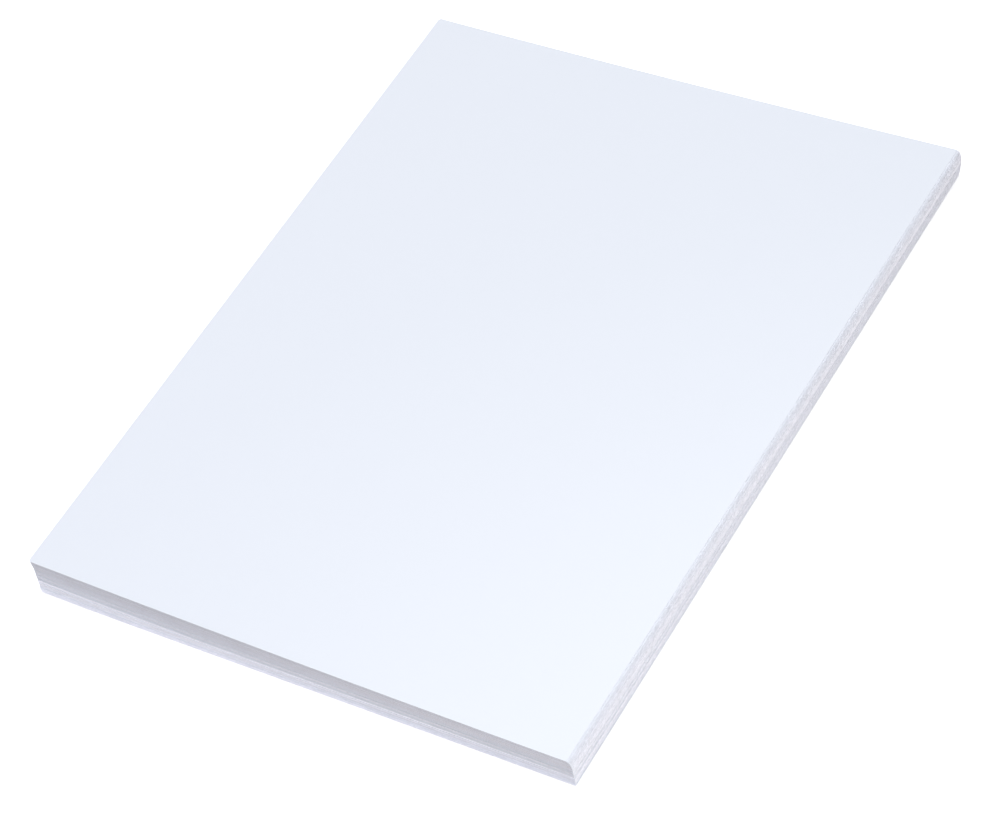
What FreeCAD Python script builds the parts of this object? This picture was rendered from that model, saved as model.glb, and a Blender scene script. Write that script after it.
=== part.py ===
import FreeCAD, Part
import math
import os
import random

import Sketcher

# A stack of loose sheets of glossy photo paper, 8 x 10 in, lying on a table.
#
# Frame: millimetres, +X along the short edge, +Y along the long edge, +Z up. The origin is on the table,
# under the middle of the stack. The sheets are numbered from the table up, and each is one solid of its own.
#
# Every sheet lies flat on its right and curls up a little towards its left edge, the more the higher it
# lies, because air has crept in between the sheets there. The right side was cut last, so the corners are
# rounded on the left and square on the right. The blade drew the uppermost sheets and leaned in on the lower
# ones, and both came out a little narrower than the sheets between them. The pile is square at the top and
# looser further down, where the sheets are turned a little, are jogged out of line and stand out to the
# front in two ledges.

DIMENSIONS = {
    # One sheet.
    "sheet_width": 203.2,  # short edge, 8 in
    "sheet_length": 254.0,  # long edge, 10 in
    "sheet_thickness": 0.2,  # caliper of coated paper of about 200 g per square metre
    "corner_radius": 1.0,  # of the two left corners
    # The pile.
    "sheet_count": 50,
    "sheet_gap": 0.04,  # air between two sheets where both are flat
    # Curl at the left edge: how high the edge rises on the lowest and the top sheet, how wide the curled
    # stretch is on the lowest sheet, and how wide a strip stays flat on the top sheet.
    "low_curl_rise": 0.8,
    "top_curl_rise": 3.0,
    "low_curl_length": 40.0,
    "top_flat_length": 15.0,
    # The cut right edge. The draw is the top sheet's and fades over so many sheets, and the lean is the
    # lowest sheet's and fades towards the top.
    "trim_draw": 1.1,
    "trim_sheets": 11,
    "trim_lean": 0.8,
    # Ledges on the front: how far each group of lower sheets stands out, and the sheets below each ledge.
    "ledge_step": 0.15,
    "upper_ledge_sheets": 28,
    "lower_ledge_sheets": 18,
    # Turn of the lowest sheet about the front right corner, in degrees. It fades towards the top.
    "low_turn": 0.36,
    # Most that chance moves a sheet at the top and, towards the front or across, at the bottom, and most
    # that it turns a sheet there, in degrees.
    "square_jog": 0.04,
    "loose_jog_front": 0.3,
    "loose_jog_across": 0.15,
    "loose_jog_turn": 0.05,
}
CHANCE_SEED = 8
OUTPUT_FOLDER = "parts"

# Sketcher's numbers for the points of a curve and for the sketch's own horizontal axis and its root point.
START, END, CENTRE = 1, 2, 3
X_AXIS, ROOT = -1, 1
DOWNWARDS = 3 * math.pi / 2

CORNERS = 4
UPRIGHT_WITHIN = 1e-6


def make_dimensions(doc):
    """Puts the driving dimensions into a spreadsheet, one aliased cell each."""
    sheet = doc.addObject("Spreadsheet::Sheet", "dims")
    for row, (alias, value) in enumerate(DIMENSIONS.items(), start=1):
        sheet.set(f"A{row}", str(value))
        sheet.setAlias(f"A{row}", alias)
    doc.recompute()
    return sheet


class SheetPlan:
    """One sheet's place in the pile, as expressions that read the spreadsheet."""

    def __init__(self, index, chance):
        self.index = index
        self.name = f"sheet_{index + 1:02d}"
        self.height_share = f"({index} / (dims.sheet_count - 1))"
        # From nothing on the top sheet to 1 on the lowest, with most of the growth near the table.
        self.looseness = f"((1 - {self.height_share}) ^ 2)"
        self.chance_across = f"{chance.uniform(-1, 1):.3f}"
        self.chance_along = f"{chance.uniform(-1, 1):.3f}"
        self.chance_turn = f"{chance.uniform(-1, 1):.3f}"

    def curl_length(self):
        """Width of the curled stretch at the left edge."""
        top_length = "(dims.sheet_width - dims.top_flat_length)"
        return f"dims.low_curl_length + ({top_length} - dims.low_curl_length) * {self.height_share}"

    def curl_rise(self):
        """Height of the left edge above the flat stretch."""
        return f"dims.low_curl_rise + (dims.top_curl_rise - dims.low_curl_rise) * {self.height_share}"

    def trimmed_off(self):
        """Width lost at the right: to the blade's lean and, along a quarter of an ellipse, to its draw."""
        lean = f"dims.trim_lean * {self.looseness}"
        below_top = DIMENSIONS["sheet_count"] - 1 - self.index
        if below_top >= DIMENSIONS["trim_sheets"]:
            return lean
        height = f"(1 - {below_top} / dims.trim_sheets)"
        return f"{lean} + dims.trim_draw * (1 - sqrt(1 - {height} ^ 2))"

    def flat_length(self):
        """Width of the flat stretch, from the curl to the right edge."""
        return f"dims.sheet_width - ({self.trimmed_off()}) - ({self.curl_length()})"

    def jog(self, chance, most):
        """A shift by chance, up to so much on the lowest sheet and to the square jog on the top one."""
        return f"{chance} * (dims.square_jog + ({most} - dims.square_jog) * {self.looseness})"

    def right(self):
        """X of the right edge before it was cut."""
        return f"dims.sheet_width / 2 + {self.jog(self.chance_across, 'dims.loose_jog_across')}"

    def front(self):
        """Y of the front edge."""
        groups = ("upper_ledge_sheets", "lower_ledge_sheets")
        ledges = sum(self.index < DIMENSIONS[group] for group in groups)
        jog = self.jog(self.chance_along, "dims.loose_jog_front")
        return f"-dims.sheet_length / 2 - {ledges} * dims.ledge_step + {jog}"

    def underside(self):
        """Z of the flat stretch's lower face."""
        return f"{self.index} * (dims.sheet_thickness + dims.sheet_gap)"

    def turn(self):
        """Turn about the front right corner, in degrees."""
        return f"(dims.low_turn + {self.chance_turn} * dims.loose_jog_turn) * {self.looseness}"


def value_of(dims, expression):
    """Works out an expression as a plain number of millimetres."""
    return float(dims.evalExpression(expression.replace("dims.", "")))


def line(start, end):
    """A straight edge in a sketch's plane."""
    return Part.LineSegment(FreeCAD.Vector(*start, 0), FreeCAD.Vector(*end, 0))


def arc(centre, radius, first_angle, last_angle):
    """A round edge in a sketch's plane, anticlockwise from the first angle to the last."""
    circle = Part.Circle(FreeCAD.Vector(*centre, 0), FreeCAD.Vector(0, 0, 1), radius)
    return Part.ArcOfCircle(circle, first_angle, last_angle)


class Profile:
    """A sheet's section across its width. Its root point is where the right edge was before it was cut."""

    def __init__(self, sketch):
        self.sketch = sketch
        self.curves = {}

    def add(self, name, curve):
        self.curves[name] = self.sketch.addGeometry(curve)

    def constrain(self, kind, *items):
        """Adds a constraint between named curves and their points."""
        numbers = [self.curves.get(item, item) for item in items]
        return self.sketch.addConstraint(Sketcher.Constraint(kind, *numbers))

    def size(self, name, expression, kind, *items):
        """Adds a dimension and binds it to the spreadsheet."""
        number = self.constrain(kind, *items)
        self.sketch.renameConstraint(number, name)
        self.sketch.setExpression(f"Constraints.{name}", expression)


def draw_curl(profile, plan, dims, flat_start, thickness):
    """Draws the curled stretch at the left edge, tangent to the flat middle."""
    length = value_of(dims, plan.curl_length())
    rise = value_of(dims, plan.curl_rise())
    radius = (length**2 + rise**2) / (2 * rise)
    centre = (flat_start, radius)
    edge_angle = DOWNWARDS - math.asin(length / radius)
    profile.add("under_curl", arc(centre, radius, edge_angle, DOWNWARDS))
    profile.add("upper_curl", arc(centre, radius - thickness, edge_angle, DOWNWARDS))
    corner = (flat_start - length, rise)
    profile.add("left_edge", line(corner, (corner[0], corner[1] + thickness)))
    profile.constrain("Tangent", "under_curl", END, "under_flat", START)
    profile.constrain("Tangent", "upper_curl", END, "upper_flat", START)
    profile.constrain("Coincident", "under_curl", CENTRE, "upper_curl", CENTRE)
    profile.constrain("Coincident", "left_edge", START, "under_curl", START)
    profile.constrain("Coincident", "left_edge", END, "upper_curl", START)
    profile.constrain("Vertical", "left_edge")
    span = ("DistanceX", "under_curl", START, "under_curl", END, length)
    profile.size("curl_length", plan.curl_length(), *span)
    height = ("DistanceY", "under_curl", END, "under_curl", START, rise)
    profile.size("curl_rise", plan.curl_rise(), *height)


def draw_profile(sketch, plan, dims):
    """Draws a sheet's whole section in the plane of X and Z."""
    thickness = DIMENSIONS["sheet_thickness"]
    flat_end = -value_of(dims, plan.trimmed_off())
    flat_start = flat_end - value_of(dims, plan.flat_length())
    profile = Profile(sketch)
    profile.add("under_flat", line((flat_start, 0), (flat_end, 0)))
    profile.add("upper_flat", line((flat_start, thickness), (flat_end, thickness)))
    profile.add("right_edge", line((flat_end, 0), (flat_end, thickness)))
    profile.constrain("Horizontal", "under_flat")
    profile.constrain("Horizontal", "upper_flat")
    profile.constrain("Vertical", "right_edge")
    profile.constrain("Coincident", "right_edge", START, "under_flat", END)
    profile.constrain("Coincident", "right_edge", END, "upper_flat", END)
    draw_curl(profile, plan, dims, flat_start, thickness)
    profile.constrain("PointOnObject", "under_flat", END, X_AXIS)
    place = ("DistanceX", "under_flat", END, X_AXIS, ROOT, -flat_end)
    profile.size("trimmed_off", plan.trimmed_off(), *place)
    width = ("DistanceX", "under_flat", START, "under_flat", END, flat_end - flat_start)
    profile.size("flat_length", plan.flat_length(), *width)
    height = ("DistanceY", "under_flat", END, "upper_flat", END, thickness)
    profile.size("thickness", "dims.sheet_thickness", *height)


def origin_plane(body, role):
    """One of a body's own origin planes."""
    return next(plane for plane in body.Origin.OriginFeatures if plane.Role == role)


def make_sheet(doc, plan, dims):
    """Makes one square-cornered sheet: its section, padded along its length, then laid in the pile."""
    body = doc.addObject("PartDesign::Body", plan.name)
    body.Label = plan.name
    sketch = body.newObject("Sketcher::SketchObject", f"{plan.name}_section")
    sketch.AttachmentSupport = [(origin_plane(body, "XZ_Plane"), "")]
    sketch.MapMode = "FlatFace"
    draw_profile(sketch, plan, dims)
    pad = body.newObject("PartDesign::Pad", f"{plan.name}_pad")
    pad.Profile = sketch
    pad.Reversed = True
    pad.setExpression("Length", "dims.sheet_length")
    body.Tip = pad
    body.setExpression("Placement.Base.x", plan.right())
    body.setExpression("Placement.Base.y", plan.front())
    body.setExpression("Placement.Base.z", plan.underside())
    body.setExpression("Placement.Rotation.Angle", plan.turn())
    return body


def is_upright(edge):
    """Whether an edge runs straight up."""
    first, last = edge.Vertexes[0].Point, edge.Vertexes[-1].Point
    return math.hypot(last.x - first.x, last.y - first.y) < UPRIGHT_WITHIN


def round_left_corners(body):
    """Rounds the two left corners of a padded sheet. The corners are its only upright edges."""
    pad = body.Tip
    edges = enumerate(pad.Shape.Edges, start=1)
    corners = {f"Edge{number}": edge for number, edge in edges if is_upright(edge)}
    if len(corners) != CORNERS:
        raise RuntimeError(f"{body.Label} has {len(corners)} corners")
    from_left = sorted(corners, key=lambda name: corners[name].Vertexes[0].Point.x)
    fillet = body.newObject("PartDesign::Fillet", f"{body.Name}_corners")
    fillet.Base = (pad, from_left[: CORNERS // 2])
    fillet.setExpression("Radius", "dims.corner_radius")
    body.Tip = fillet


def check(doc, bodies):
    """Stops if any object failed, any sketch is loose, or any sheet isn't one valid solid."""
    for item in doc.Objects:
        if "Invalid" in item.State or "Error" in item.State:
            raise RuntimeError(f"{item.Name} failed: {item.State}")
        if item.isDerivedFrom("Sketcher::SketchObject") and not item.FullyConstrained:
            raise RuntimeError(f"{item.Name} is not fully constrained")
    for body in bodies:
        if body.Shape.isNull() or not body.Shape.isValid() or len(body.Shape.Solids) != 1:
            raise RuntimeError(f"{body.Label} is not one valid solid")


def main():
    doc = FreeCAD.newDocument("photo_paper_stack")
    dims = make_dimensions(doc)
    chance = random.Random(CHANCE_SEED)
    plans = [SheetPlan(index, chance) for index in range(DIMENSIONS["sheet_count"])]
    bodies = [make_sheet(doc, plan, dims) for plan in plans]
    doc.recompute()
    for body in bodies:
        round_left_corners(body)
    doc.recompute()
    check(doc, bodies)
    os.makedirs(OUTPUT_FOLDER, exist_ok=True)
    for body in bodies:
        body.Shape.exportStep(os.path.join(OUTPUT_FOLDER, f"{body.Label}.step"))
    whole = Part.makeCompound([body.Shape for body in bodies]).BoundBox
    print(f"{len(bodies)} sheets, {whole.XLength:.2f} x {whole.YLength:.2f} x {whole.ZLength:.2f} mm")


main()
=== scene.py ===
"""Looks of a stack of loose sheets of glossy photo paper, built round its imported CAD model.

A finer mesh of the same shape stands for each CAD sheet, with a coated front, a satin back and a raw cut
edge. A sheet's place, turn, curl and corners are read from its own CAD solid, so the looks follow the
construction. All lengths are in metres.
"""

import logging
import math
from dataclasses import dataclass, field
from enum import Enum
from typing import Any, Iterable, Optional, Union

import bpy
from mathutils import Matrix, Vector


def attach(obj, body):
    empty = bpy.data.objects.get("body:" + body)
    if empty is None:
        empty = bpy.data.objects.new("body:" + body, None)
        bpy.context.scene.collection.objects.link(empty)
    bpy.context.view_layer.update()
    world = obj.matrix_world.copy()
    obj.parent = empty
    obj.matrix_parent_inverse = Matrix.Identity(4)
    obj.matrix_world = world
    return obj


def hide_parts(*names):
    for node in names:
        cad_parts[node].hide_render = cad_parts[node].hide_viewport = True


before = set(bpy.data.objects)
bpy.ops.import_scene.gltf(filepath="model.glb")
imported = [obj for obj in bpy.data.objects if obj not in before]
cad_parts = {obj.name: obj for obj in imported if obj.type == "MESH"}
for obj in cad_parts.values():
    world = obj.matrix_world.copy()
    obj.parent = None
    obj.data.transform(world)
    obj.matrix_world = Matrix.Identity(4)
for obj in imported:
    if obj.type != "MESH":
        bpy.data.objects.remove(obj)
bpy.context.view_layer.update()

logging.basicConfig(level=logging.INFO, format="%(message)s")
log = logging.getLogger("photo_paper")

MM = 0.001
ROOT_BODY = "root"

Socket = bpy.types.NodeSocket
Colour = tuple[float, float, float]
Given = Union[Socket, float, int, bool, str, tuple, bpy.types.Material]


class Attribute(Enum):
    """Values that a sheet's mesh carries for its materials."""

    # The edge tone is painted light and shade on the raw edges, with some random tone in it.
    TONE = "edge_tone"
    THROUGH = "through_thickness"


class NodeMaker:
    """Adds nodes to a tree and links what feeds them."""

    def __init__(self, tree: bpy.types.NodeTree) -> None:
        """Keeps the tree that the nodes go in."""
        self.tree = tree

    def add(self, kind: str, inputs: Optional[dict[Any, Given]] = None, **settings: Any) -> bpy.types.Node:
        """Adds one node.

        Args:
            kind: The node's type name.
            inputs: What feeds each input, by its name or number: a socket to link or a plain value.
            settings: The node's own properties.

        Returns:
            The new node.
        """
        node = self.tree.nodes.new(kind)
        for name, value in settings.items():
            setattr(node, name, value)
        for key, value in (inputs or {}).items():
            if isinstance(value, Socket):
                self.tree.links.new(value, node.inputs[key])
            else:
                node.inputs[key].default_value = value
        return node

    def math(self, operation: str, *values: Given, clamp: bool = False) -> Socket:
        """Adds a sum of numbers and returns its result."""
        inputs = dict(enumerate(values))
        return self.add("ShaderNodeMath", inputs, operation=operation, use_clamp=clamp).outputs[0]

    def ramp(
        self, value: Given, low: float, high: float, to_low: float = 0.0, to_high: float = 1.0
    ) -> Socket:
        """Maps a value smoothly from one range to another and returns the result."""
        inputs = {"Value": value, "From Min": low, "From Max": high, "To Min": to_low, "To Max": to_high}
        return self.add("ShaderNodeMapRange", inputs, interpolation_type="SMOOTHSTEP").outputs["Result"]

    def noise(self, place: Given, scale: Given, detail: float = 2.0, seed: Given = 0.0) -> Socket:
        """Adds a noise from 0 to 1 and returns its value."""
        inputs = {"Vector": place, "W": seed, "Scale": scale, "Detail": detail}
        return self.add("ShaderNodeTexNoise", inputs, noise_dimensions="4D").outputs[0]

    def centred_noise(self, place: Given, scale: Given, detail: float = 2.0, seed: Given = 0.0) -> Socket:
        """Adds a noise about nought, from about -1 to 1, and returns its value."""
        value = self.noise(place, scale, detail, seed)
        return self.math("MULTIPLY_ADD", value, 2.0, -1.0)

    def stretched(self, place: Given, stretch: Given) -> Socket:
        """Scales a place along each axis and returns the result."""
        node = self.add("ShaderNodeVectorMath", {0: place, 1: stretch}, operation="MULTIPLY")
        return node.outputs[0]

    def attribute(self, which: Attribute) -> Socket:
        """Reads a value that the sheet's mesh carries, for a material."""
        return self.add("ShaderNodeAttribute", attribute_name=which.value).outputs["Fac"]


def open_group(
    name: str, kind: str, ins: dict[str, tuple[str, Any]], outs: dict[str, str]
) -> NodeMaker:
    """Starts a node group with named inputs and outputs.

    Args:
        name: The group's name.
        kind: The tree's type name.
        ins: Each input's socket type and usual value, by name.
        outs: Each output's socket type, by name.

    Returns:
        The maker of the group's nodes.
    """
    tree = bpy.data.node_groups.new(name, kind)
    for label, (socket_type, usual) in ins.items():
        socket = tree.interface.new_socket(label, in_out="INPUT", socket_type=socket_type)
        if usual is not None:
            socket.default_value = usual
    for label, socket_type in outs.items():
        tree.interface.new_socket(label, in_out="OUTPUT", socket_type=socket_type)
    return NodeMaker(tree)


# --------------------------------------------------------------------------------------------------
# Finishes


class FibreGrain:
    """The fine uneven tone and surface of paper, shared by the finishes.

    Wide soft clouds lie under the fine fibres. Their scale and strength are shares of the fibres' own.
    """

    NAME = "fibre_grain"
    USUAL_SCALE = 1000.0
    USUAL_CONTRAST = 0.1
    FIBRE_DETAIL = 4.0
    CLOUD_SCALE = 0.12
    CLOUD_STRENGTH = 0.6
    CLOUD_SEED = 7.0

    @classmethod
    def group(cls) -> bpy.types.NodeTree:
        """Builds the shader group, the first time that it is asked for.

        Returns:
            The group, which puts out a tone about 1 and a height about 0.
        """
        if cls.NAME in bpy.data.node_groups:
            return bpy.data.node_groups[cls.NAME]
        number = "NodeSocketFloat"
        ins = {
            "Stretch": ("NodeSocketVector", (1.0, 1.0, 1.0)),
            "Scale": (number, cls.USUAL_SCALE),
            "Contrast": (number, cls.USUAL_CONTRAST),
        }
        make = open_group(cls.NAME, "ShaderNodeTree", ins, {"Tone": number, "Height": number})
        given = make.add("NodeGroupInput").outputs
        place = make.add("ShaderNodeTexCoord").outputs["Object"]
        scaled = make.stretched(place, given["Stretch"])
        fibres = make.centred_noise(scaled, given["Scale"], detail=cls.FIBRE_DETAIL)
        cloud_scale = make.math("MULTIPLY", given["Scale"], cls.CLOUD_SCALE)
        clouds = make.centred_noise(scaled, cloud_scale, seed=cls.CLOUD_SEED)
        both = make.math("MULTIPLY_ADD", clouds, cls.CLOUD_STRENGTH, fibres)
        tone = make.math("MULTIPLY_ADD", both, given["Contrast"], 1.0)
        make.add("NodeGroupOutput", {"Tone": tone, "Height": both})
        return make.tree


@dataclass(frozen=True)
class Finish:
    """A surface with its colour, its gloss and the paper's grain in it."""

    name: str
    colour: Colour
    roughness: float
    grain_stretch: tuple[float, float, float]
    grain_scale: float
    grain_contrast: float
    bump_strength: float
    bump_depth: float

    def start(self) -> tuple[NodeMaker, bpy.types.Node, bpy.types.Material, bpy.types.Node]:
        """Makes the material with its shader and its grain.

        Returns:
            The maker of the material's nodes, the shader, the material and the grain.
        """
        material = bpy.data.materials.new(self.name)
        material.use_nodes = True
        material.node_tree.nodes.clear()
        make = NodeMaker(material.node_tree)
        grain = make.add("ShaderNodeGroup", node_tree=FibreGrain.group())
        grain.inputs["Stretch"].default_value = self.grain_stretch
        grain.inputs["Scale"].default_value = self.grain_scale
        grain.inputs["Contrast"].default_value = self.grain_contrast
        relief = {
            "Height": grain.outputs["Height"],
            "Strength": self.bump_strength,
            "Distance": self.bump_depth,
        }
        bump = make.add("ShaderNodeBump", relief).outputs[0]
        shader = make.add("ShaderNodeBsdfPrincipled", {"Roughness": self.roughness, "Normal": bump})
        make.add("ShaderNodeOutputMaterial", {"Surface": shader.outputs[0]})
        return make, shader, material, grain

    def toned(self, make: NodeMaker, tone: Socket) -> Socket:
        """The finish's colour made lighter or darker by a tone about 1."""
        node = make.add("ShaderNodeVectorMath", {0: self.colour, "Scale": tone}, operation="SCALE")
        return node.outputs[0]

    def material(self) -> bpy.types.Material:
        """Makes the plain material of this finish.

        Returns:
            The material, whose colour has the grain's tone in it.
        """
        make, shader, material, grain = self.start()
        make.tree.links.new(self.toned(make, grain.outputs["Tone"]), shader.inputs["Base Color"])
        return material


@dataclass(frozen=True)
class CoatedFace(Finish):
    """The glossy printing face: a clear, nearly level coat over bright paper."""

    level_scale: float = 28.0
    level_roughness: float = 0.03
    coat: float = 0.4
    coat_roughness: float = 0.08

    LEVEL_DETAIL = 3.0
    LEVEL_SEED = 3.0

    def material(self) -> bpy.types.Material:
        """Makes the material of the printing face.

        Returns:
            The material, whose gloss changes a little over the sheet.
        """
        make, shader, material, grain = self.start()
        make.tree.links.new(self.toned(make, grain.outputs["Tone"]), shader.inputs["Base Color"])
        place = make.add("ShaderNodeTexCoord").outputs["Object"]
        level = make.centred_noise(place, self.level_scale, self.LEVEL_DETAIL, self.LEVEL_SEED)
        roughness = make.math("MULTIPLY_ADD", level, self.level_roughness, self.roughness)
        make.tree.links.new(roughness, shader.inputs["Roughness"])
        shader.inputs["Coat Weight"].default_value = self.coat
        shader.inputs["Coat Roughness"].default_value = self.coat_roughness
        return material


@dataclass(frozen=True)
class CutEdge(Finish):
    """The raw edge that the blade leaves: a fibrous core between two thin films of plastic.

    Long streaks and short dashes lie along the edge. The dashes are stronger where a sheet's edge tone is
    light, with painted light on the loose sheets, than where painted shade darkens the square pile. The film
    is the share of the thickness that it takes up.
    """

    film: float = 0.12
    film_tone: float = 1.08
    streak_stretch: tuple[float, float, float] = (0.1, 0.1, 8.0)
    streak_scale: float = 420.0
    streak_contrast: float = 0.07
    dash_stretch: tuple[float, float, float] = (0.6, 0.6, 1.4)
    dash_scale: float = 1800.0
    square_dashes: float = 0.12
    loose_dashes: float = 0.36
    painted_shade_tone: float = 0.5
    painted_light_tone: float = 1.0

    MIDDLE = 0.5
    STREAK_SEED = 5.0
    DASH_DETAIL = 1.0
    DASH_SEED = 11.0

    def material(self) -> bpy.types.Material:
        """Makes the material of the raw edge.

        Returns:
            The material, which differs from sheet to sheet, mostly by painted light and shade, and through
            the thickness.
        """
        make, shader, material, grain = self.start()
        through = make.attribute(Attribute.THROUGH)
        from_middle = make.math("ABSOLUTE", make.math("SUBTRACT", through, self.MIDDLE))
        film = make.ramp(from_middle, self.MIDDLE - self.film, self.MIDDLE, 1.0, self.film_tone)
        # The sheet's edge tone: painted shade, darker towards the top and the left end on the front and
        # back, painted light low down, and some random tone.
        sheet_tone_with_painted_shading = make.attribute(Attribute.TONE)
        place = make.add("ShaderNodeTexCoord").outputs["Object"]
        along_streaks = make.stretched(place, self.streak_stretch)
        streak = make.centred_noise(along_streaks, self.streak_scale, seed=self.STREAK_SEED)
        streak_tone = make.math("MULTIPLY_ADD", streak, self.streak_contrast, 1.0)
        along_dashes = make.stretched(place, self.dash_stretch)
        dash = make.centred_noise(along_dashes, self.dash_scale, self.DASH_DETAIL, self.DASH_SEED)
        # The dashes follow the tone: weak where it is painted shade, strong where it is painted light.
        dash_contrast = make.ramp(
            sheet_tone_with_painted_shading, self.painted_shade_tone, self.painted_light_tone, self.square_dashes, self.loose_dashes
        )
        dash_tone = make.math("MULTIPLY_ADD", dash, dash_contrast, 1.0)
        tone = make.math("MULTIPLY", make.math("MULTIPLY", film, sheet_tone_with_painted_shading), streak_tone)
        tone = make.math("MULTIPLY", tone, dash_tone)
        tone = make.math("MULTIPLY", tone, grain.outputs["Tone"])
        make.tree.links.new(self.toned(make, tone), shader.inputs["Base Color"])
        return material


COATED_FACE = CoatedFace(
    name="coated_face",
    colour=(0.79, 0.828, 0.90),
    roughness=0.34,
    grain_stretch=(1.0, 1.0, 1.0),
    grain_scale=900.0,
    grain_contrast=0.004,
    bump_strength=0.06,
    bump_depth=0.00002,
)
SATIN_BACK = Finish(
    name="satin_back",
    colour=(0.80, 0.82, 0.86),
    roughness=0.5,
    grain_stretch=(1.0, 1.0, 1.0),
    grain_scale=1600.0,
    grain_contrast=0.02,
    bump_strength=0.25,
    bump_depth=0.00003,
)
CUT_EDGE = CutEdge(
    name="cut_edge",
    colour=(0.955, 0.93, 0.985),
    roughness=0.8,
    grain_stretch=(1.0, 1.0, 3.0),
    grain_scale=4000.0,
    grain_contrast=0.05,
    bump_strength=0.5,
    bump_depth=0.00003,
)


# --------------------------------------------------------------------------------------------------
# The sheets


@dataclass(frozen=True)
class LaidSheet:
    """One sheet's place and shape. Distances across it are counted from its left edge."""

    node: str
    corner: Vector
    turn: float
    width: float
    length: float
    thickness: float
    corner_radius: float
    curl_length: float
    curl_curvature: float

    SAME_HEIGHT = 1e-7
    SAME_PLACE = 1e-6

    @classmethod
    def measured(cls, solid: bpy.types.Object) -> "LaidSheet":
        """Reads a sheet from its CAD solid.

        Args:
            solid: The CAD node's object.

        Returns:
            The sheet as it lies.
        """
        points = [vertex.co.copy() for vertex in solid.data.vertices]
        middle = sum(point.y for point in points) / len(points)
        left_front = cls.leftmost(point for point in points if point.y < middle)
        left_back = cls.leftmost(point for point in points if point.y >= middle)
        along = (left_back - left_front).to_2d().normalized()
        turn = math.atan2(-along.x, along.y)
        across = Vector((along.y, -along.x))
        flat = [(point - left_front).to_2d() for point in points]
        reach_across = [place.dot(across) for place in flat]
        reach_along = [place.dot(along) for place in flat]
        radius = -min(reach_along)
        level = min(point.z for point in points)
        placed = list(zip(reach_across, points))
        curl_length = min(reach for reach, point in placed if point.z - level < cls.SAME_HEIGHT)
        heights = [point.z for reach, point in placed if reach < cls.SAME_PLACE]
        corner = left_front.to_2d() - along * radius
        return cls(
            node=solid.name,
            corner=Vector((corner.x, corner.y, level)),
            turn=turn,
            width=max(reach_across),
            length=max(reach_along) + radius,
            thickness=max(heights) - min(heights),
            corner_radius=radius,
            curl_length=curl_length,
            curl_curvature=cls.curvature(curl_length, min(heights) - level),
        )

    @staticmethod
    def leftmost(points: Iterable[Vector]) -> Vector:
        """The point furthest to the left, and of several the lowest."""
        return min(points, key=lambda point: (point.x, point.z))

    @staticmethod
    def curvature(span: float, rise: float) -> float:
        """Curvature of a round stretch that starts level and rises by so much over its span."""
        return 2 * rise / (span**2 + rise**2)


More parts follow.
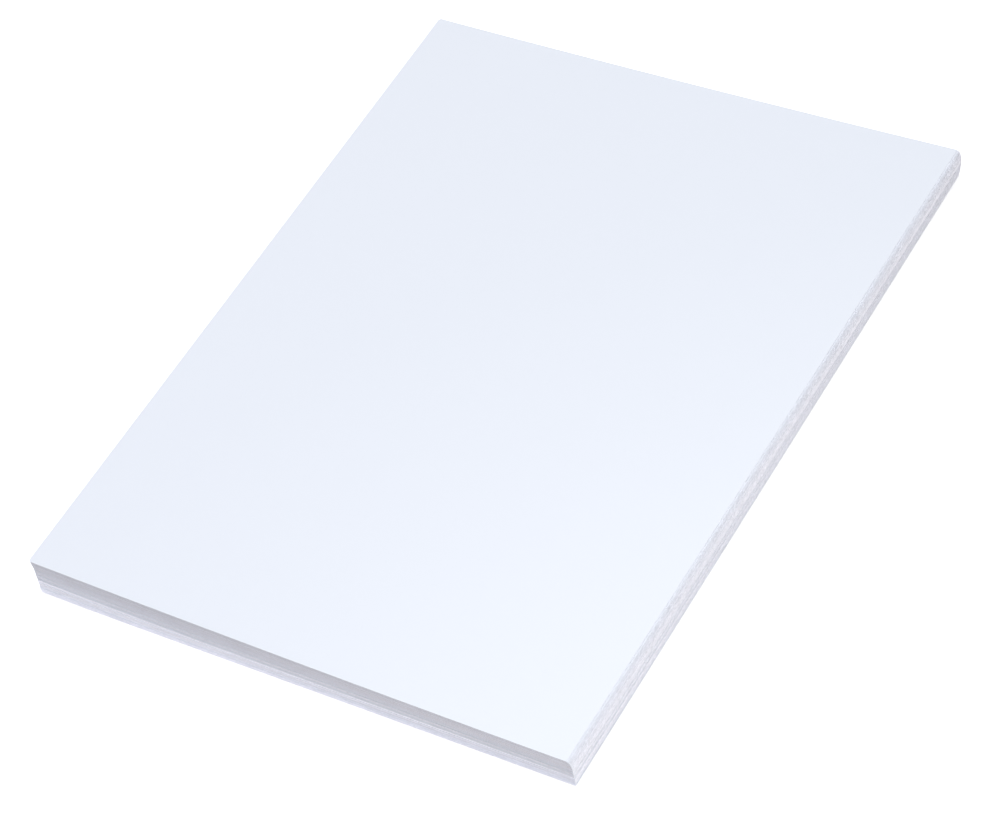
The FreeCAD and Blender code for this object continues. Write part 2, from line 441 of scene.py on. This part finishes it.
@dataclass(frozen=True)
class SheetTree:
    """Geometry nodes that make one sheet from its sizes.

    The sharp angle, in radians, is the least between two faces whose edge shows as sharp. The side facing is
    how much of a face's normal has to point left or right for the face to count as one of those two sides.
    """

    join_distance: float = 0.001 * MM
    sharp_angle: float = 0.6
    side_facing: float = 0.7
    ripple_length: float = 38 * MM
    single_ripple_length: float = 60 * MM
    name: str = "laid_sheet"

    NUMBER = "NodeSocketFloat"
    COUNT = "NodeSocketInt"
    SIZES = (
        "Width", "Length", "Thickness", "Corner Radius", "Curl Length", "Curl Curvature", "Turn",
        "Ripple", "Single Ripple", "Left End Tone", "Right End Tone", "Side Tone",
    )
    MATERIALS = ("Face", "Back", "Edge")

    def build(self) -> bpy.types.NodeTree:
        """Builds the tree.

        Returns:
            The tree, with an input for each size, the mesh's fineness, the corner's place, a seed and the
            three materials.
        """
        geometry = "NodeSocketGeometry"
        ins: dict[str, tuple[str, Any]] = {size: (self.NUMBER, 0.0) for size in self.SIZES}
        ins["Cells Across"] = (self.COUNT, 1)
        ins["Cells Along"] = (self.COUNT, 1)
        ins["Corner"] = ("NodeSocketVector", (0.0, 0.0, 0.0))
        ins["Seed"] = (self.COUNT, 0)
        ins.update({name: ("NodeSocketMaterial", None) for name in self.MATERIALS})
        ins = {"Geometry": (geometry, None), **ins}
        make = open_group(self.name, "GeometryNodeTree", ins, {"Geometry": geometry})
        given = make.add("NodeGroupInput").outputs
        underside = self.laid_grid(make, given)
        underside = self.rippled(make, given, underside)
        mesh, top, side = self.thickened(make, given, underside)
        self.dressed(make, given, mesh, top, side)
        return make.tree

    def laid_grid(self, make: NodeMaker, given: Any) -> Socket:
        """Makes the underside: a grid with the curl and the round corners, finer towards both sides.

        Args:
            make: The maker of the tree's nodes.
            given: The tree's inputs, by name.

        Returns:
            The underside in its place.
        """
        counts = {
            "Size X": 1.0,
            "Size Y": 1.0,
            "Vertices X": make.math("ADD", given["Cells Across"], 1.0),
            "Vertices Y": make.math("ADD", given["Cells Along"], 1.0),
        }
        grid = make.add("GeometryNodeMeshGrid", counts).outputs["Mesh"]
        at = make.add("ShaderNodeSeparateXYZ", {0: make.add("GeometryNodeInputPosition").outputs[0]})
        swing = make.math("SINE", make.math("MULTIPLY", at.outputs["X"], math.pi))
        across = make.math("MULTIPLY", make.math("MULTIPLY_ADD", swing, 0.5, 0.5), given["Width"])
        inset = self.corner_inset(make, given, across)
        clear_length = make.math("MULTIPLY_ADD", inset, -2.0, given["Length"])
        share = make.math("ADD", 0.5, at.outputs["Y"])
        along = make.math("MULTIPLY_ADD", share, clear_length, inset)
        into_curl = make.math("MAXIMUM", make.math("SUBTRACT", given["Curl Length"], across), 0.0)
        rise = self.sagitta(make, into_curl, given["Curl Curvature"])
        place = make.add("ShaderNodeCombineXYZ", {"X": across, "Y": along, "Z": rise}).outputs[0]
        shaped = make.add("GeometryNodeSetPosition", {"Geometry": grid, "Position": place}).outputs[0]
        turn = make.add("ShaderNodeCombineXYZ", {"Z": given["Turn"]}).outputs[0]
        inputs = {"Geometry": shaped, "Translation": given["Corner"], "Rotation": turn}
        return make.add("GeometryNodeTransform", inputs).outputs[0]

    @staticmethod
    def corner_inset(make: NodeMaker, given: Any, across: Socket) -> Socket:
        """Finds how far the rounded left corners draw the front and back edges in.

        Args:
            make: The maker of the tree's nodes.
            given: The tree's inputs, by name.
            across: A point's distance from the sheet's left edge.

        Returns:
            The inset there, which is 0 beyond the corners.
        """
        radius = given["Corner Radius"]
        into_corner = make.math("MAXIMUM", make.math("SUBTRACT", radius, across), 0.0)
        square = make.math("MULTIPLY", into_corner, into_corner)
        left_over = make.math("SUBTRACT", make.math("MULTIPLY", radius, radius), square)
        return make.math("SUBTRACT", radius, make.math("SQRT", make.math("MAXIMUM", left_over, 0.0)))

    @staticmethod
    def sagitta(make: NodeMaker, reach: Socket, curvature: Socket) -> Socket:
        """Finds the height of a circle above its tangent.

        Args:
            make: The maker of the tree's nodes.
            reach: The distance along the tangent from where they touch.
            curvature: One over the circle's radius.

        Returns:
            The height there.
        """
        slope = make.math("MULTIPLY", reach, curvature)
        level = make.math("SQRT", make.math("SUBTRACT", 1.0, make.math("MULTIPLY", slope, slope)))
        return make.math("DIVIDE", make.math("MULTIPLY", slope, reach), make.math("ADD", 1.0, level))

    def rippled(self, make: NodeMaker, given: Any, mesh: Socket) -> Socket:
        """Adds the ripple that runs through the whole stack, and a smaller one of the sheet's own.

        Args:
            make: The maker of the tree's nodes.
            given: The tree's inputs, by name.
            mesh: The underside in its place.

        Returns:
            The rippled underside.
        """
        place = make.add("GeometryNodeInputPosition").outputs[0]
        flat_place = make.stretched(place, (1.0, 1.0, 0.0))
        shared = make.centred_noise(flat_place, 1 / self.ripple_length, detail=1.0)
        own = make.centred_noise(flat_place, 1 / self.single_ripple_length, detail=1.0, seed=given["Seed"])
        lift = make.math("MULTIPLY", shared, given["Ripple"])
        lift = make.math("MULTIPLY_ADD", own, given["Single Ripple"], lift)
        offset = make.add("ShaderNodeCombineXYZ", {"Z": lift}).outputs[0]
        return make.add("GeometryNodeSetPosition", {"Geometry": mesh, "Offset": offset}).outputs[0]

    @staticmethod
    def stored(
        make: NodeMaker, mesh: Socket, which: Attribute, value: Given, domain: str, **where: Given
    ) -> Socket:
        """Stores one of the values that the materials read on a mesh.

        Args:
            make: The maker of the tree's nodes.
            mesh: The mesh that carries it.
            which: The value's attribute.
            value: The value.
            domain: The kind of mesh element that holds it.
            where: The selection that gets it, if not the whole mesh.

        Returns:
            The mesh with the value on it.
        """
        inputs = {"Geometry": mesh, "Name": which.value, "Value": value, **where}
        settings = {"data_type": "FLOAT", "domain": domain}
        return make.add("GeometryNodeStoreNamedAttribute", inputs, **settings).outputs[0]

    def thickened(self, make: NodeMaker, given: Any, underside: Socket) -> tuple[Socket, Socket, Socket]:
        """Closes the sheet: raises its upper face, walls its edges and keeps the underside.

        Args:
            make: The maker of the tree's nodes.
            given: The tree's inputs, by name.
            underside: The rippled underside.

        Returns:
            The closed mesh, and the selections of its upper face and of its edges.
        """
        lower = self.stored(make, underside, Attribute.THROUGH, 0.0, "POINT")
        upwards = {
            "Mesh": lower,
            "Offset": (0.0, 0.0, 1.0),
            "Offset Scale": given["Thickness"],
            "Individual": False,
        }
        raised = make.add("GeometryNodeExtrudeMesh", upwards, mode="FACES").outputs
        upper = self.stored(
            make, raised["Mesh"], Attribute.THROUGH, 1.0, "POINT", Selection=raised["Top"]
        )
        flipped = make.add("GeometryNodeFlipFaces", {"Mesh": lower}).outputs[0]
        joined = make.add("GeometryNodeJoinGeometry")
        make.tree.links.new(flipped, joined.inputs[0])
        make.tree.links.new(upper, joined.inputs[0])
        merge = {"Geometry": joined.outputs[0], "Distance": self.join_distance}
        closed = make.add("GeometryNodeMergeByDistance", merge).outputs[0]
        return closed, raised["Top"], raised["Side"]

    def edge_tone(self, make: NodeMaker, given: Any) -> Socket:
        """Finds the tone of the raw edge at each face: painted light and shade, by which way the face
        points.

        Args:
            make: The maker of the tree's nodes.
            given: The tree's inputs, by name.

        Returns:
            The tone: one for the left and right sides, and one that changes along the front and back, mostly
                painted darker.
        """
        facing = make.add("GeometryNodeInputNormal").outputs[0]
        normal = make.add("ShaderNodeSeparateXYZ", {0: facing}).outputs
        # Faces that point left or right get the sides' painted shading, the others that of the front and
        # back, which changes from the left end to the right end.
        is_side = make.math("GREATER_THAN", make.math("ABSOLUTE", normal["X"]), self.side_facing)
        position = make.add("GeometryNodeInputPosition").outputs[0]
        place = make.add("ShaderNodeSeparateXYZ", {0: position}).outputs
        half = make.math("MULTIPLY", given["Width"], 0.5)
        tones = {"To Min": given["Left End Tone"], "To Max": given["Right End Tone"]}
        span = {"Value": place["X"], "From Min": make.math("MULTIPLY", half, -1.0), "From Max": half}
        end_painted_shading = make.add("ShaderNodeMapRange", {**span, **tones}).outputs["Result"]
        change = make.math("SUBTRACT", given["Side Tone"], end_painted_shading)
        return make.math("MULTIPLY_ADD", change, is_side, end_painted_shading)

    def dressed(self, make: NodeMaker, given: Any, mesh: Socket, top: Socket, side: Socket) -> None:
        """Gives the sheet its edge tone of painted light and shade, its shading and its three materials, and
        ends the tree.

        Args:
            make: The maker of the tree's nodes.
            given: The tree's inputs, by name.
            mesh: The closed mesh.
            top: The selection of its upper face.
            side: The selection of its edges.
        """
        # Each face keeps its painted light and shade tone for the edge material.
        toned = self.stored(make, mesh, Attribute.TONE, self.edge_tone(make, given), "FACE")
        all_smooth = {"Geometry": toned, "Shade Smooth": True}
        smooth = make.add("GeometryNodeSetShadeSmooth", all_smooth).outputs[0]
        angle = make.add("GeometryNodeInputMeshEdgeAngle").outputs["Unsigned Angle"]
        corner = make.math("GREATER_THAN", angle, self.sharp_angle)
        sharp = {"Geometry": smooth, "Selection": corner, "Shade Smooth": False}
        crisp = make.add("GeometryNodeSetShadeSmooth", sharp, domain="EDGE").outputs[0]
        real = make.add("GeometryNodeRealizeInstances", {"Geometry": crisp}).outputs[0]
        back = {"Geometry": real, "Material": given["Back"]}
        backed = make.add("GeometryNodeSetMaterial", back).outputs[0]
        face = {"Geometry": backed, "Selection": top, "Material": given["Face"]}
        faced = make.add("GeometryNodeSetMaterial", face).outputs[0]
        edge = {"Geometry": faced, "Selection": side, "Material": given["Edge"]}
        edged = make.add("GeometryNodeSetMaterial", edge).outputs[0]
        make.add("NodeGroupOutput", {"Geometry": edged})


@dataclass(frozen=True)
class PaintedShadingBand:
    """A few neighbouring sheets whose raw edges get a line of painted light, or of painted shade where the
    lift is below 0.

    The middle and the spread are counted in sheets, from the table up. The lift is a share of the tone.
    """

    middle: float
    spread: float
    lift: float

    def lift_at(self, number: int) -> float:
        """How much painted light the band puts on one sheet's edge, or painted shade below 0, as a share of
        its tone.
        """
        return self.lift * math.exp(-(((number - self.middle) / self.spread) ** 2))


@dataclass(frozen=True)
class EdgeTonesWithPaintedShading:
    """How light the sheets' raw edges are, as shares of the finish's colour: painted light and shade, with
    random tone.

    The levels are from the lowest sheet to the top one, with a step where the loose sheets end. The step
    share is how far up that is, and the fade power bends the change below it. The jumps are how much the
    tone may change at random from a few sheets alike to the next few, and the bands of painted light and
    shade come on top of them.
    """

    low: float
    last_loose: float
    first_square: float
    top: float
    step_share: float
    loose_jump: float
    square_jump: float
    bands: tuple[PaintedShadingBand, ...] = ()

    FADE_POWER = 1.7
    SHEETS_ALIKE = 2
    GOLDEN = (math.sqrt(5) - 1) / 2

    def of(self, number: int, count: int) -> float:
        """Tone of one sheet's edge.

        Args:
            number: The sheet's number from the table up.
            count: How many sheets there are.

        Returns:
            Its tone, with the jumps and the bands in it.
        """
        share = number / (count - 1)
        if share < self.step_share:
            fade = (share / self.step_share) ** self.FADE_POWER
            level = self.low + (self.last_loose - self.low) * fade
            jump = self.loose_jump
        else:
            above = (share - self.step_share) / (1 - self.step_share)
            level = self.first_square + (self.top - self.first_square) * above
            jump = self.square_jump
        chance = 2 * (number // self.SHEETS_ALIKE * self.GOLDEN % 1) - 1
        lift = chance * jump + sum(band.lift_at(number) for band in self.bands)
        return min(1.0, level * (1 + lift))


# Painted shading of the front and back edges: painted shade towards the top, deeper at the left end, painted
# light on the low loose sheets, and lines of painted light and shade in the bands.
LEFT_END_PAINTED_SHADING = EdgeTonesWithPaintedShading(
    low=1.0,
    last_loose=0.59,
    first_square=0.58,
    top=0.38,
    step_share=0.39,
    loose_jump=0.07,
    square_jump=0.04,
    bands=(
        PaintedShadingBand(middle=13.0, spread=1.6, lift=-0.20),
        PaintedShadingBand(middle=17.7, spread=2.1, lift=0.22),
        PaintedShadingBand(middle=25.6, spread=1.6, lift=0.10),
    ),
)
RIGHT_END_PAINTED_SHADING = EdgeTonesWithPaintedShading(
    low=0.96,
    last_loose=0.64,
    first_square=0.59,
    top=0.505,
    step_share=0.38,
    loose_jump=0.07,
    square_jump=0.04,
    bands=(
        PaintedShadingBand(middle=12.0, spread=1.6, lift=-0.15),
        PaintedShadingBand(middle=16.2, spread=1.7, lift=0.15),
        PaintedShadingBand(middle=24.8, spread=1.6, lift=0.12),
    ),
)
# Painted shading of the left and right edges: only a little, lighter at the bottom and the top than around
# the step.
SIDE_PAINTED_SHADING = EdgeTonesWithPaintedShading(
    low=0.955,
    last_loose=0.90,
    first_square=0.92,
    top=0.95,
    step_share=0.42,
    loose_jump=0.055,
    square_jump=0.045,
)


@dataclass
class PaperStack:
    """The stack: one mesh for each CAD sheet, from the table up.

    The end tones, painted light and shade, are for the front and back edges, which change from the stack's
    left end to its right end and are mostly painted darker than the sides. The side tones, also painted
    light and shade but much less, are for the left and right edges. The cells are how many a sheet has
    across and along it.
    """

    ripple: float = 0.010 * MM
    single_ripple: float = 0.004 * MM
    left_end_painted_shading: EdgeTonesWithPaintedShading = LEFT_END_PAINTED_SHADING
    right_end_painted_shading: EdgeTonesWithPaintedShading = RIGHT_END_PAINTED_SHADING
    side_painted_shading: EdgeTonesWithPaintedShading = SIDE_PAINTED_SHADING
    cells: tuple[int, int] = (56, 48)
    top_cells: tuple[int, int] = (120, 150)
    sheets: list[LaidSheet] = field(default_factory=list, init=False)

    def build(self) -> list[bpy.types.Object]:
        """Makes and dresses every sheet.

        Returns:
            The sheets' objects, from the table up.
        """
        tree = SheetTree().build()
        materials = {
            "Face": COATED_FACE.material(),
            "Back": SATIN_BACK.material(),
            "Edge": CUT_EDGE.material(),
        }
        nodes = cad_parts
        self.sheets = [LaidSheet.measured(nodes[name]) for name in sorted(nodes)]
        pieces = []
        for number, sheet in enumerate(self.sheets):
            piece = self.make_sheet(tree, sheet, number, materials)
            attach(piece, ROOT_BODY)
            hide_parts(sheet.node)
            pieces.append(piece)
            faces = len(piece.data.polygons)
            log.info("%s: %d faces, turned %.3f degrees", piece.name, faces, math.degrees(sheet.turn))
        return pieces

    def make_sheet(
        self,
        tree: bpy.types.NodeTree,
        sheet: LaidSheet,
        number: int,
        materials: dict[str, bpy.types.Material],
    ) -> bpy.types.Object:
        """Makes one sheet's plain mesh with the geometry nodes.

        Args:
            tree: The nodes that make a sheet.
            sheet: The sheet's place and shape.
            number: Its number from the table up.
            materials: The materials of its face, back and edge.

        Returns:
            The sheet's object, at the origin, with no modifier left on it.
        """
        count = len(self.sheets)
        cells_across, cells_along = self.top_cells if number == count - 1 else self.cells
        sizes: dict[str, Given] = {
            "Width": sheet.width,
            "Length": sheet.length,
            "Thickness": sheet.thickness,
            "Corner Radius": sheet.corner_radius,
            "Curl Length": sheet.curl_length,
            "Curl Curvature": sheet.curl_curvature,
            "Turn": sheet.turn,
            "Ripple": self.ripple,
            "Single Ripple": self.single_ripple,
            # Each sheet's edge tones are painted light and shade.
            "Left End Tone": self.left_end_painted_shading.of(number, count),
            "Right End Tone": self.right_end_painted_shading.of(number, count),
            "Side Tone": self.side_painted_shading.of(number, count),
            "Cells Across": cells_across,
            "Cells Along": cells_along,
            "Corner": tuple(sheet.corner),
            "Seed": number,
            **materials,
        }
        name = sheet.node.replace("sheet", "paper")
        piece = bpy.data.objects.new(name, bpy.data.meshes.new(name))
        bpy.context.scene.collection.objects.link(piece)
        modifier = piece.modifiers.new(tree.name, "NODES")
        modifier.node_group = tree
        for socket in tree.interface.items_tree:
            if socket.in_out == "INPUT" and socket.name in sizes:
                modifier[socket.identifier] = sizes[socket.name]
        graph = bpy.context.evaluated_depsgraph_get()
        mesh = bpy.data.meshes.new_from_object(
            piece.evaluated_get(graph), preserve_all_data_layers=True, depsgraph=graph
        )
        piece.modifiers.remove(modifier)
        piece.data = mesh
        mesh.name = name
        return piece


# --------------------------------------------------------------------------------------------------
# The studio


@dataclass(frozen=True)
class Viewpoint:
    """Where the camera stands, in degrees and metres.

    The azimuth is counted from the front towards the right, and a roll above 0 turns the camera clockwise.
    The focal length is in millimetres, and the sight is how far the camera sees.
    """

    azimuth: float = 46.98
    elevation: float = 47.076
    roll: float = 20.985
    distance: float = 1.0957
    aim: tuple[float, float, float] = (0.00899, -0.01724, 0.006)
    focal_length: float = 124.582
    sight: float = 100.0

    def build(self) -> bpy.types.Object:
        """Makes the camera and looks through it.

        Returns:
            The camera.
        """
        azimuth = math.radians(self.azimuth)
        elevation = math.radians(self.elevation)
        back = Vector((
            math.sin(azimuth) * math.cos(elevation),
            -math.cos(azimuth) * math.cos(elevation),
            math.sin(elevation),
        ))
        level = Vector((0, 0, 1)).cross(back).normalized()
        right = Matrix.Rotation(-math.radians(self.roll), 3, back) @ level
        up = back.cross(right)
        data = bpy.data.cameras.new("camera")
        data.lens = self.focal_length
        data.clip_end = self.sight
        camera = bpy.data.objects.new("camera", data)
        place = Matrix.Translation(Vector(self.aim) + back * self.distance)
        camera.matrix_world = place @ Matrix((right, up, back)).transposed().to_4x4()
        bpy.context.scene.collection.objects.link(camera)
        bpy.context.scene.camera = camera
        return camera


@dataclass(frozen=True)
class SoftBox:
    """A large soft lamp that faces a place near the stack.

    A round one has a width and no depth. The cloth front is dimmer towards its edge: the edge level is a
    share of the radiance in the middle, and the plateau is the share of the half width that has all of it.
    """

    name: str
    centre: tuple[float, float, float]
    facing: tuple[float, float, float]
    width: float
    depth: Optional[float]
    radiance: float
    edge_level: float = 1.0
    plateau: float = 0.5
    colour: Colour = (1.0, 1.0, 1.0)
    mirrored: bool = True

    def build(self) -> bpy.types.Object:
        """Makes the lamp in its place.

        Returns:
            The lamp.
        """
        data = bpy.data.lights.new(self.name, "AREA")
        data.size = self.width
        if self.depth is None:
            data.shape = "DISK"
            area = math.pi * self.width**2 / 4
        else:
            data.shape = "RECTANGLE"
            data.size_y = self.depth
            area = self.width * self.depth
        data.energy = self.radiance * math.pi * area
        data.color = self.colour
        if self.edge_level < 1:
            self.dim_edge(data)
        lamp = bpy.data.objects.new(self.name, data)
        lamp.visible_camera = False
        lamp.visible_glossy = self.mirrored
        towards = Vector(self.facing) - Vector(self.centre)
        turned = towards.to_track_quat("-Z", "Y").to_matrix().to_4x4()
        lamp.matrix_world = Matrix.Translation(self.centre) @ turned
        bpy.context.scene.collection.objects.link(lamp)
        return lamp

    def dim_edge(self, data: bpy.types.AreaLight) -> None:
        """Makes the lamp dimmer towards its edge, as a cloth front over a bulb is.

        Args:
            data: The lamp's light.
        """
        data.use_nodes = True
        data.node_tree.nodes.clear()
        make = NodeMaker(data.node_tree)
        across = make.add("ShaderNodeNewGeometry").outputs["Parametric"]
        place = make.add("ShaderNodeSeparateXYZ", {0: across}).outputs
        right = make.math("SUBTRACT", place["X"], 0.5)
        up = make.math("SUBTRACT", place["Y"], 0.5)
        square = make.math("MULTIPLY_ADD", right, right, make.math("MULTIPLY", up, up))
        from_middle = make.math("MULTIPLY", make.math("SQRT", square), 2.0)
        level = make.ramp(from_middle, self.plateau, 1.0, 1.0, self.edge_level)
        glow = make.add("ShaderNodeEmission", {"Strength": level})
        make.add("ShaderNodeOutputLight", {"Surface": glow.outputs[0]})


@dataclass(frozen=True)
class Studio:
    """The pale floor, the white surroundings and the lamps.

    The floor lies a hair below the stack. It keeps the stack's shadow as far as the shadow reach, and at the
    shadow fade it is plain white.
    """

    floor_half: float = 12.0
    floor_drop: float = 0.05 * MM
    floor_colour: Colour = (0.89, 0.885, 0.88)
    floor_roughness: float = 0.9
    floor_glow: float = 0.55
    shadow_reach: float = 0.45
    shadow_fade: float = 1.1
    world_light: float = 0.3
    world_colour: Colour = (0.95, 0.96, 1.0)

    def build(self) -> None:
        """Makes the floor, the surroundings, the lamps and the camera, and sets how colours are shown."""
        floor = self.make_floor()
        self.make_world()
        lamps = [lamp.build() for lamp in self.lamps()]
        for thing in (floor, *lamps, Viewpoint().build()):
            log.info("%s in place", thing.name)
        bpy.context.scene.view_settings.view_transform = "Standard"

    @staticmethod
    def lamps() -> list[SoftBox]:
        """Sets out the lamps.

        Returns:
            A round one overhead, whose rim mirrors in the top sheet, and two low fills.
        """
        overhead = SoftBox(
            name="overhead",
            centre=(-0.116, 0.341, 1.2),
            facing=(-0.116, 0.341, 0.0),
            width=1.62,
            depth=None,
            radiance=2.6,
            edge_level=0.15,
            plateau=0.55,
        )
        fill_right = SoftBox(
            name="fill_right",
            centre=(0.63, -0.26, 0.15),
            facing=(0.0, 0.0, 0.0),
            width=0.4,
            depth=0.24,
            radiance=5.6,
            colour=(0.925, 0.975, 1.0),
            mirrored=False,
        )
        fill_front = SoftBox(
            name="fill_front",
            centre=(-0.45, -0.75, 0.2),
            facing=(0.0, 0.0, 0.0),
            width=0.8,
            depth=0.35,
            radiance=5.3,
            colour=(0.955, 0.945, 1.0),
            mirrored=False,
        )
        return [overhead, fill_right, fill_front]

    @staticmethod
    def seen_directly(make: NodeMaker) -> Socket:
        """Tells the rays that show a surface itself from the rays that carry its light.

        Args:
            make: The maker of the material's nodes.

        Returns:
            1 for a surface in view, mirrored or through glass, and 0 for the light that it gives.
        """
        path = make.add("ShaderNodeLightPath").outputs
        either = make.math("MAXIMUM", path["Is Camera Ray"], path["Is Glossy Ray"])
        return make.math("MAXIMUM", either, path["Is Transmission Ray"])

    def make_floor(self) -> bpy.types.Object:
        """Makes the floor, which keeps the stack's soft shadow and is white further away.

        Returns:
            The floor.
        """
        half = self.floor_half
        height = -self.floor_drop
        mesh = bpy.data.meshes.new("floor")
        across = ((-half, -half), (half, -half), (half, half), (-half, half))
        mesh.from_pydata([(x, y, height) for x, y in across], [], [(0, 1, 2, 3)])
        floor = bpy.data.objects.new("floor", mesh)
        bpy.context.scene.collection.objects.link(floor)
        material = bpy.data.materials.new("floor")
        material.use_nodes = True
        material.node_tree.nodes.clear()
        make = NodeMaker(material.node_tree)
        shown = self.seen_directly(make)
        glow_strength = make.math("MULTIPLY", shown, self.floor_glow)
        glow = make.add("ShaderNodeEmission", {"Strength": glow_strength})
        matt = {
            "Base Color": (*self.floor_colour, 1.0),
            "Roughness": self.floor_roughness,
            "Specular IOR Level": 0.0,
        }
        surface = make.add("ShaderNodeBsdfPrincipled", matt)
        near = make.add("ShaderNodeAddShader", {0: surface.outputs[0], 1: glow.outputs[0]})
        white = make.add("ShaderNodeEmission", {"Strength": 1.0})
        place = make.add("ShaderNodeTexCoord").outputs["Object"]
        distance = make.add("ShaderNodeVectorMath", {0: place}, operation="LENGTH").outputs["Value"]
        away = make.math("MULTIPLY", make.ramp(distance, self.shadow_reach, self.shadow_fade), shown)
        mixed = make.add("ShaderNodeMixShader", {0: away, 1: near.outputs[0], 2: white.outputs[0]})
        make.add("ShaderNodeOutputMaterial", {"Surface": mixed.outputs[0]})
        mesh.materials.append(material)
        return floor

    def make_world(self) -> None:
        """Makes the surroundings: white where they show, and an even pale light on the stack."""
        world = bpy.data.worlds.new("surroundings")
        world.use_nodes = True
        world.node_tree.nodes.clear()
        make = NodeMaker(world.node_tree)
        light = make.add("ShaderNodeBackground", {0: (*self.world_colour, 1.0), 1: self.world_light})
        white = make.add("ShaderNodeBackground", {0: (1.0, 1.0, 1.0, 1.0), 1: 1.0})
        shown = self.seen_directly(make)
        both = make.add("ShaderNodeMixShader", {0: shown, 1: light.outputs[0], 2: white.outputs[0]})
        make.add("ShaderNodeOutputWorld", {"Surface": both.outputs[0]})
        bpy.context.scene.world = world


def main() -> None:
    """Builds the stack and the studio."""
    pieces = PaperStack().build()
    log.info("%d sheets", len(pieces))
    Studio().build()


if __name__ == "__main__":
    main()
